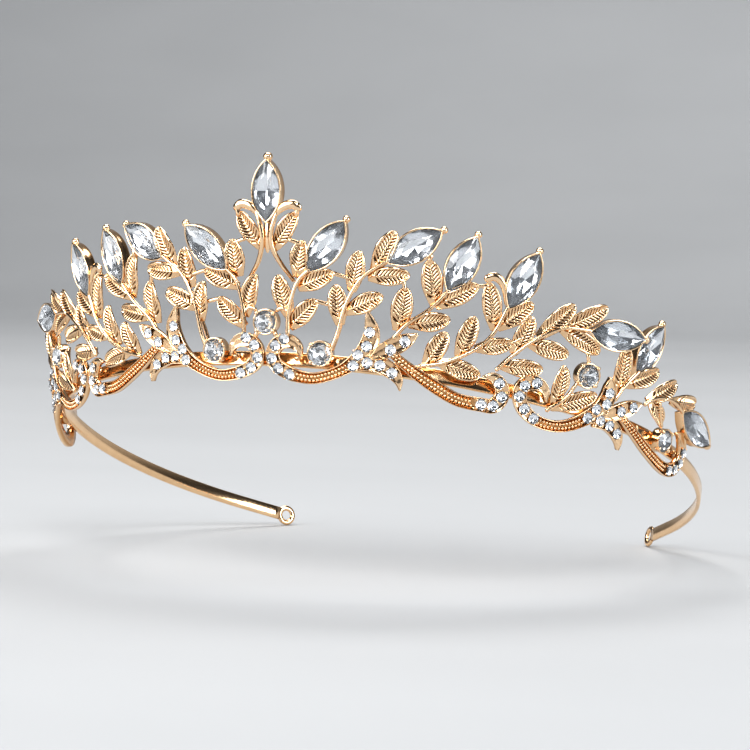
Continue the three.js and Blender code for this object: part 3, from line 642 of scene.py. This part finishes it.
SPRAYS = [
    {
        "stems": [[(4.6, 9.6), (4.7, 15), (6.2, 20.6), (8.8, 23.6)]],
        "gem": ((8.5, 23.2), (14.9, 33.4)),
        "left_gem": ((8.5, 23.2), (16.6, 32.7, 1.6)),
        "nubs": [[(13.2, 22.9), (16.2, 22.2)], [(10.0, 17.2), (12.6, 16.7)],
                 [(2.2, 14.9), (3.3, 15.5), (4.5, 14.6)], [(6.9, 28.2), (4.4, 29)]],
        "leaves": [((5.9, 21.5), (7.1, 29), 3.3), ((6.2, 19.6), (13.2, 23), 3.1),
                   ((4.7, 13.6), (2.2, 22), 3.1), ((4.7, 11.6), (10.2, 17.4), 3.1)],
    },
    {
        "stems": [[(13.2, 7.6), (14.4, 11), (15.8, 17), (18.6, 22.6), (23.8, 27)],
                  [(13.2, 7.6, -1.5), (14.3, 11, -1.5), (15.3, 14.6, -0.9)]],
        "round": (11.2, 6.9),
        "gem": ((23.3, 26.3), (32.8, 33.9)),
        "nubs": [[(20.1, 15.8), (20.7, 17.8)]],
        "leaves": [((14.8, 12.8), (13.7, 20.8), 3.1), ((16.6, 19.6), (17.9, 27.8), 3.1),
                   ((15.6, 15.6), (22.7, 19.5), 3.1), ((20.6, 24.2), (24.2, 32.4), 3.2),
                   ((19.6, 22.8), (27.4, 24.2), 3.0)],
    },
    {
        "stems": [[(25.2, 11.4), (27.6, 14.6), (31.6, 18.2), (35.1, 22.8)]],
        "gem": ((34.7, 22.3), (39, 34)),
        "nubs": [[(26.7, 21.2), (26.2, 23.2)], [(30.6, 27.4), (31.0, 28.7)], [(39.8, 24.2), (42, 24.8)]],
        "leaves": [((25.9, 13), (26.8, 21.8), 3.4), ((32.6, 19), (30.6, 27.8), 3.4),
                   ((32.6, 19), (40.2, 24.5), 3.2), ((27.8, 14.6), (35.7, 16.9), 3.1)],
    },
    {
        "stems": [[(30.6, 6.8), (35.5, 8.4), (41, 12), (44.2, 16), (46.4, 22)]],
        "ribbon": [(45.8, 22), (45.2, 24.6), (44.2, 26.2), (42.8, 26.8), (41.5, 26)],
        "gem": ((46.4, 21.6), (50.8, 33.6)),
        "nubs": [[(48, 14.7), (49.8, 16.2)], [(42, 25.2), (42.3, 26.8)]],
        "leaves": [((31.8, 7.2), (35.3, 14.3), 3.1), ((38, 9.8), (40.2, 18.4), 3.1),
                   ((41, 12), (48.2, 14.8), 2.7), ((34.4, 8.2), (42.7, 6.9), 3.0),
                   ((44.4, 16.4), (42, 25.5), 3.1), ((44.8, 17), (51, 23.4), 3.1)],
    },
    {
        "stems": [[(45.6, 8.9), (48.4, 12.4), (52.4, 16.4), (57.6, 20), (64.2, 21.2)]],
        "gem": ((63.6, 20.9), (75, 22.9, 1.6)),
        "leaves": [((48.6, 12.6), (51.3, 20.8), 3.0), ((53, 17), (59.3, 25.2), 3.1),
                   ((58, 20), (66.2, 26.6), 3.1), ((46.6, 9.8), (55, 11), 2.9),
                   ((51.4, 15.4), (59.8, 15.1), 2.9), ((57.6, 19.8), (66.3, 17.4), 3.0)],
    },
    {
        "stems": [[(57, 3.4), (60.4, 6.6), (62.6, 10.6)]],
        "round": (64.5, 12.3),
        "nubs": [[(64.3, 14.6), (63.8, 16.4)]],
        "leaves": [((58.6, 4.6), (59.3, 13), 2.8), ((58.2, 4.2), (67.5, 9.2), 2.9)],
    },
    {
        "stems": [[(71.6, 9.4), (73.4, 13), (76, 16.6)]],
        "gem": ((75.6, 15.8, -0.4), (81.1, 28.1, -1.4)),
        "leaves": [((72, 10.8), (71.8, 20.8), 3.0), ((73.8, 13), (81.6, 18.4), 3.2)],
    },
    {
        "stems": [[(79.4, 10.8), (82.6, 13.2), (88, 14.2), (93.6, 13.2)]],
        "gem": ((92.8, 13.2), (104, 10.3, 2.8)),
        "nubs": [[(84, 12.5), (85.2, 10.2), (86.4, 8.4)], [(93, 12.6), (95.2, 10.6), (96.6, 8.2)]],
        "leaves": [((80.6, 11.8), (88, 18.2), 3.1), ((81.2, 12.7), (86.2, 8.6), 2.9),
                   ((88.4, 14.2), (97.8, 16.8), 3.0)],
    },
]

CENTRE_GEM = ((0, 32.6), (0, 45))
CENTRE_CUP = (0, 12.6)
CENTRE_LEAF = ((1.2, 27), (5.8, 34.4), 3.0)


# Materials

def new_material(name):
    material = bpy.data.materials.new(name)
    material.use_nodes = True
    tree = material.node_tree
    return material, tree, tree.nodes["Principled BSDF"]


def node(tree, kind, **settings):
    made = tree.nodes.new(kind)
    for key, value in settings.items():
        setattr(made, key, value)
    return made


def ramp_node(tree, factor, stops):
    made = node(tree, "ShaderNodeValToRGB")
    elements = made.color_ramp.elements
    while len(elements) < len(stops):
        elements.new(0.5)
    for element, (position, colour) in zip(elements, stops):
        element.position = position
        element.color = (*colour, 1)
    tree.links.new(factor, made.inputs[0])
    return made.outputs[0]


def gold(name, bright, middle, dark, rough, grain):
    """Plated cast metal with painted shade: its colour runs from bright to dark as the painted shade value
    rises, with fine casting grain.
    """
    material, tree, shader = new_material(name)
    place = node(tree, "ShaderNodeTexCoord").outputs["Object"]
    painted_shade = node(tree, "ShaderNodeAttribute", attribute_name="painted_shade").outputs["Fac"]
    cloud = node(tree, "ShaderNodeTexNoise")
    cloud.inputs["Scale"].default_value = 260
    cloud.inputs["Detail"].default_value = 4
    tree.links.new(place, cloud.inputs["Vector"])
    tone = ramp_node(tree, cloud.outputs["Fac"], ((0.3, (0.92, 0.9, 0.88)), (0.7, (1, 1, 1))))
    # Painted shade: bright where unshaded, middle to near black in grooves, channel floors, backs and
    # undersides.
    depth = ramp_node(tree, painted_shade, ((0.0, bright), (0.45, middle), (1.0, dark)))
    mix = node(tree, "ShaderNodeMix", data_type="RGBA", blend_type="MULTIPLY")
    mix.inputs["Factor"].default_value = 1
    tree.links.new(depth, mix.inputs["A"])
    tree.links.new(tone, mix.inputs["B"])
    tree.links.new(mix.outputs["Result"], shader.inputs["Base Color"])
    speck = node(tree, "ShaderNodeTexNoise")
    speck.inputs["Scale"].default_value = 1800
    speck.inputs["Detail"].default_value = 3
    tree.links.new(place, speck.inputs["Vector"])
    spread = node(tree, "ShaderNodeMapRange")
    spread.inputs["To Min"].default_value = rough - 0.05
    spread.inputs["To Max"].default_value = rough + 0.08
    tree.links.new(speck.outputs["Fac"], spread.inputs["Value"])
    tree.links.new(spread.outputs["Result"], shader.inputs["Roughness"])
    bump = node(tree, "ShaderNodeBump")
    bump.inputs["Strength"].default_value = grain
    bump.inputs["Distance"].default_value = 0.00006
    tree.links.new(speck.outputs["Fac"], bump.inputs["Height"])
    tree.links.new(bump.outputs["Normal"], shader.inputs["Normal"])
    shader.inputs["Metallic"].default_value = 1.0
    return material


def glass():
    """Clear lead glass, with a trace of dust and wear on its facets."""
    material, tree, shader = new_material("clear_glass")
    place = node(tree, "ShaderNodeTexCoord").outputs["Object"]
    dust = node(tree, "ShaderNodeTexNoise")
    dust.inputs["Scale"].default_value = 900
    tree.links.new(place, dust.inputs["Vector"])
    spread = node(tree, "ShaderNodeMapRange")
    spread.inputs["To Min"].default_value = 0.0
    spread.inputs["To Max"].default_value = 0.03
    tree.links.new(dust.outputs["Fac"], spread.inputs["Value"])
    tree.links.new(spread.outputs["Result"], shader.inputs["Roughness"])
    shader.inputs["Base Color"].default_value = (0.97, 0.985, 1.0, 1)
    shader.inputs["Transmission Weight"].default_value = 1.0
    shader.inputs["IOR"].default_value = 1.6
    return material


def foil():
    """The silver foil fired on the back facets of each crystal."""
    material, tree, shader = new_material("silver_foil")
    place = node(tree, "ShaderNodeTexCoord").outputs["Object"]
    cloud = node(tree, "ShaderNodeTexNoise")
    cloud.inputs["Scale"].default_value = 500
    tree.links.new(place, cloud.inputs["Vector"])
    tone = ramp_node(tree, cloud.outputs["Fac"], ((0.3, (0.94, 0.96, 0.98)), (0.7, (0.99, 0.99, 1.0))))
    tree.links.new(tone, shader.inputs["Base Color"])
    shader.inputs["Metallic"].default_value = 0.8
    shader.inputs["Roughness"].default_value = 0.08
    return material


# Each gold's three colours run from unshaded, through middle painted shade, to the deepest painted shade in
# grooves and backs.
cast_gold = gold("cast_rose_gold", (0.99, 0.74, 0.5), (0.62, 0.36, 0.16), (0.02, 0.007, 0.002),
                 rough=0.16, grain=0.35)
band_gold = gold("polished_rose_gold", (0.98, 0.7, 0.44), (0.7, 0.45, 0.24), (0.3, 0.15, 0.06),
                 rough=0.14, grain=0.15)
clear_glass = glass()
silver_foil = foil()
CRYSTAL = [clear_glass, silver_foil]


# Pieces

def declare(piece, slot_name, *nodes):
    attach(piece, "root")
    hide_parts(*nodes)


def pair(name, build, materials, slot_name):
    """The right piece, and the left one as its mirror image: build(side) gathers either."""
    for side, mirror in (("right", False), ("left", True)):
        piece = build(side).object(f"{name}_{side}_form", materials, mirror)
        declare(piece, slot_name, f"{name}_{side}")


def gem_of(layout, side):
    return layout.get("left_gem", layout["gem"]) if side == "left" else layout["gem"]


def post(work, s):
    """A solder joint from the back of a scroll to the band."""
    h = BAND_BOTTOM + BAND_HEIGHT / 2
    wire(work, [(s, h, 0.0), (s, h, -0.9), (s, h, -1.6)], [0.6, 0.5, 0.55], sides=8)


def spray_work(layout, side):
    work = Work()
    for points in layout.get("stems", []):
        wire(work, points, np.linspace(*STEM_RADII, len(points)), lift=STEM_LIFT)
    for i, (base, tip, width) in enumerate(layout.get("leaves", [])):
        roll = LEAF_ROLL * math.sin(7.3 * base[0] + 2.1 * i)
        leaf(work, base, tip, width, lift=-0.1, roll=roll)
    if "ribbon" in layout:
        wire(work, layout["ribbon"], [0.4, 0.65, 0.8, 0.9, 0.75], flat=0.6, sides=12)
    for points in layout.get("nubs", []):
        wire(work, points, [NUB_RADIUS] * len(points), lift=-0.1, sides=8)
    if "gem" in layout:
        navette_setting(work, *gem_of(layout, side))
    if "round" in layout:
        round_setting(work, layout["round"])
    return work


def scroll_work(i, layout):
    work = Work()
    main, *lobes = layout["lines"]
    scroll_line(work, main, layout["beaded"], layout["solid"])
    for lobe in lobes:
        scroll_line(work, lobe)
    for s in layout["posts"]:
        post(work, s)
    for row, places in STONE_ROWS.values():
        if row == i:
            for place in places:
                pave_grains(work, place)
    if "round" in layout:
        round_setting(work, layout["round"])
    for place in layout.get("stones", []):
        pave_grains(work, place)
    return work


def crystals_work(places=(), gem=None, round_place=None):
    work = Work()
    if gem:
        navette_crystal(work, *gem)
    if round_place:
        round_crystal(work, round_place)
    for place in places:
        pave_crystal(work, place)
    return work


def build_scrolls():
    for i, layout in enumerate(SCROLLS):
        pair(f"scroll_{i + 1}", lambda side: scroll_work(i, layout), [cast_gold], "casting_gold")
        if "round" in layout:
            pair(f"round_crystal_scroll_{i + 1}",
                 lambda side: crystals_work(layout["stones"], round_place=layout["round"]),
                 CRYSTAL, "crystal")


def build_stones():
    for name, (_, places) in STONE_ROWS.items():
        pair(name, lambda side: crystals_work(places), CRYSTAL, "crystal")


def build_sprays():
    for i, layout in enumerate(SPRAYS):
        name = f"branch_{i + 1}"
        pair(name, lambda side: spray_work(layout, side), [cast_gold], "casting_gold")
        if "gem" in layout:
            pair(f"navette_crystal_{name}",
                 lambda side: crystals_work(gem=gem_of(layout, side)), CRYSTAL, "crystal")
        if "round" in layout:
            pair(f"round_crystal_{name}",
                 lambda side: crystals_work(round_place=layout["round"]), CRYSTAL, "crystal")


def build_centre():
    work = Work()
    for side in (1, -1):
        stem = [(side * s, h, o) for s, h, o in
                ((2.1, 34.6, 0), (1.6, 33, 0.1), (0.95, 30.6, 0.1), (1.0, 27.6, -0.2), (2.3, 24.3, -1.4),
                 (4.7, 20.8, -2.4))]
        wire(work, stem, [0.35, 0.45, 0.5, 0.52, 0.5, 0.42])
        shoulder = [(side * s, h) for s, h in
                    ((1.7, 33.8), (2.8, 35.1), (4, 35.8), (5.3, 35.9), (6.2, 35.1))]
        wire(work, shoulder, [0.5, 0.82, 0.92, 0.95, 0.8], flat=0.6, sides=12)
        wire(work, [(side * 6.0, 35.2, -0.1), (side * 5.7, 33.8, -0.1)], [0.5, 0.5], sides=8)
        base, tip, width = CENTRE_LEAF
        leaf(work, (side * base[0], base[1]), (side * tip[0], tip[1]), width, lift=-0.3)
    spine = [(0, 33.4, -0.7), (0, 31, -0.5), (0, 28.6, -0.5), (0, 26.4, -0.6)]
    wire(work, spine, [0.5, 0.85, 0.95, 0.3], flat=0.4)
    navette_setting(work, *CENTRE_GEM, bead=0.98)
    declare(work.object("centre_spray_form", [cast_gold]), "casting_gold", "centre_spray")
    declare(crystals_work(gem=CENTRE_GEM).object("navette_crystal_centre_form", CRYSTAL), "crystal",
            "navette_crystal_centre")
    work = Work()
    round_setting(work, CENTRE_CUP)
    for side in (1, -1):
        wire(work, [(side * 1.2, 11.6, -0.4), (side * 2.2, 9.8, -0.1)], [0.5, 0.5])
    declare(work.object("centre_cup_form", [cast_gold]), "casting_gold", "centre_cup")
    declare(crystals_work(round_place=CENTRE_CUP).object("round_crystal_centre_form", CRYSTAL), "crystal",
            "round_crystal_centre")


def build_band():
    """A half-round strip on edge, with a drilled eyelet at each end."""
    work = Work()
    end = plan_length()
    run = np.linspace(-end, end, 241)
    x, y, heading = plan(run)
    out = np.stack([np.sin(heading), -np.cos(heading)], -1)
    rounded = ((0.0, 0.6), (0.0, 1.25), (-0.12, 1.44), (-0.45, 1.5), (-0.78, 1.46), (-0.9, 1.32))
    lower = [(depth, -z) for depth, z in rounded[::-1]]
    profile = (*lower, (0.0, 0.0), *rounded, (-BAND_THICKNESS, 0.0))
    middle = BAND_BOTTOM + BAND_HEIGHT / 2
    rings = [np.stack([x + out[:, 0] * depth, y + out[:, 1] * depth, 0 * x + middle + z], -1)
             for depth, z in profile]
    work.rings(np.stack(rings, 1))
    for side in (-1, 1):
        eyelet(work, side * end)
    declare(work.object("headband_form", [band_gold]), "band_gold", "headband")


def eyelet(work, s):
    x, y, heading = (value[0] for value in plan(np.array([s])))
    side = np.sign(s)
    along = side * np.array([math.cos(heading), math.sin(heading), 0])
    inward = np.array([-math.sin(heading), math.cos(heading), 0])
    middle = np.array([x, y, BAND_BOTTOM + BAND_HEIGHT / 2])
    centre = middle + along * EYELET_RADIUS * 0.8 + inward * BAND_THICKNESS / 2
    turn = np.arange(32) * 2 * math.pi / 32
    radial = np.cos(turn)[:, None] * along + np.sin(turn)[:, None] * np.array([0, 0, 1.0])
    mean = (EYELET_RADIUS + EYELET_HOLE) / 2
    wall = (EYELET_RADIUS - EYELET_HOLE) / 2
    around = np.arange(12) * 2 * math.pi / 12
    rings = [centre + radial * (mean + wall * math.cos(a)) + inward * 0.45 * math.sin(a) for a in around]
    rings = np.stack(rings, 1)
    work.rings(rings, close=True)


build_band()
build_scrolls()
build_stones()
build_sprays()
build_centre()


# Studio: a pale sweep, soft lights and the camera

def sweep(floor_z):
    """A pale floor that curves up into a backdrop."""
    radius = 0.5
    back = 1.4
    profile = [(-2.2, 0.0), (back - radius, 0.0)]
    profile += [(back - radius + radius * math.sin(a), radius - radius * math.cos(a))
                for a in np.linspace(0.1, math.pi / 2, 14)]
    profile.append((back, 2.4))
    points = [(x, y, floor_z + z) for y, z in profile for x in (-3.0, 3.0)]
    faces = [(2 * i, 2 * i + 1, 2 * i + 3, 2 * i + 2) for i in range(len(profile) - 1)]
    mesh = bpy.data.meshes.new("studio_sweep")
    mesh.from_pydata(points, [], faces)
    mesh.polygons.foreach_set("use_smooth", [True] * len(faces))
    floor = bpy.data.objects.new("studio_sweep", mesh)
    bpy.context.scene.collection.objects.link(floor)
    material, tree, shader = new_material("pale_paper")
    grain = node(tree, "ShaderNodeTexNoise")
    grain.inputs["Scale"].default_value = 40
    tone = ramp_node(tree, grain.outputs["Fac"], ((0.3, (0.47, 0.475, 0.48)), (0.7, (0.49, 0.495, 0.50))))
    tree.links.new(tone, shader.inputs["Base Color"])
    shader.inputs["Roughness"].default_value = 0.9
    mesh.materials.append(material)


def pose(side, up, back, place):
    return Matrix([[side[i], up[i], back[i], place[i]] for i in range(3)] + [[0, 0, 0, 1]])


def area_light(name, place, aim, size, power, colour=(1, 1, 1)):
    light = bpy.data.lights.new(name, "AREA")
    light.shape = "RECTANGLE"
    light.size, light.size_y = size
    light.energy = power
    light.color = colour
    lamp = bpy.data.objects.new(name, light)
    back = unit(np.array(place, float) - np.array(aim, float))
    side = unit(np.cross([0, 0, 1.0], back))
    up = np.cross(back, side)
    lamp.matrix_world = pose(side, up, back, place)
    bpy.context.scene.collection.objects.link(lamp)


def world(strength):
    made = bpy.data.worlds.new("studio_world")
    made.use_nodes = True
    made.node_tree.nodes["Background"].inputs["Color"].default_value = (0.8, 0.87, 1.0, 1)
    made.node_tree.nodes["Background"].inputs["Strength"].default_value = strength
    bpy.context.scene.world = made


# The camera, in degrees and millimetres, relative to the band's own frame

CAMERA_AZIMUTH = math.radians(22.66)
CAMERA_ELEVATION = math.radians(-16.39)
CAMERA_ROLL = math.radians(8.91)
CAMERA_DISTANCE = 577
CAMERA_OFFSET = (21.72, 2.04)
CAMERA_LENS = 139.8


def camera():
    back = np.array([math.sin(CAMERA_AZIMUTH) * math.cos(CAMERA_ELEVATION),
                     -math.cos(CAMERA_AZIMUTH) * math.cos(CAMERA_ELEVATION), math.sin(CAMERA_ELEVATION)])
    level = np.array([math.cos(CAMERA_AZIMUTH), math.sin(CAMERA_AZIMUTH), 0.0])
    top = np.cross(back, level)
    side = math.cos(CAMERA_ROLL) * level + math.sin(CAMERA_ROLL) * top
    up = math.cos(CAMERA_ROLL) * top - math.sin(CAMERA_ROLL) * level
    eye = side * CAMERA_OFFSET[0] + up * CAMERA_OFFSET[1] + back * CAMERA_DISTANCE
    origin = worn(np.zeros(3))
    side, up, back = (unit(worn(axis) - origin) for axis in (side, up, back))
    place = worn(eye)
    data = bpy.data.cameras.new("camera")
    data.lens = CAMERA_LENS
    data.sensor_width = 36
    data.clip_start = 0.01
    data.clip_end = 20
    made = bpy.data.objects.new("camera", data)
    made.matrix_world = pose(side, up, back, place)
    bpy.context.scene.collection.objects.link(made)
    bpy.context.scene.camera = made


floor_z = cad_box[0][2]
sweep(floor_z)
area_light("key", (-0.9, -1.1, 0.58), (0, -0.04, 0.02), (1.2, 1.0), 17)
area_light("spark", (0.45, -1.15, 0.9), (0, -0.04, 0.02), (0.4, 0.4), 6)
area_light("side", (1.15, -0.2, 0.4), (0, -0.04, 0.02), (0.4, 0.9), 6, (0.9, 0.95, 1.0))
area_light("top", (-0.1, 0.3, 1.3), (0, 0, 0.02), (1.2, 0.8), 13)
world(0.06)
camera()
bpy.context.scene.view_settings.view_transform = "Standard"
bpy.context.scene.view_settings.look = "High Contrast"
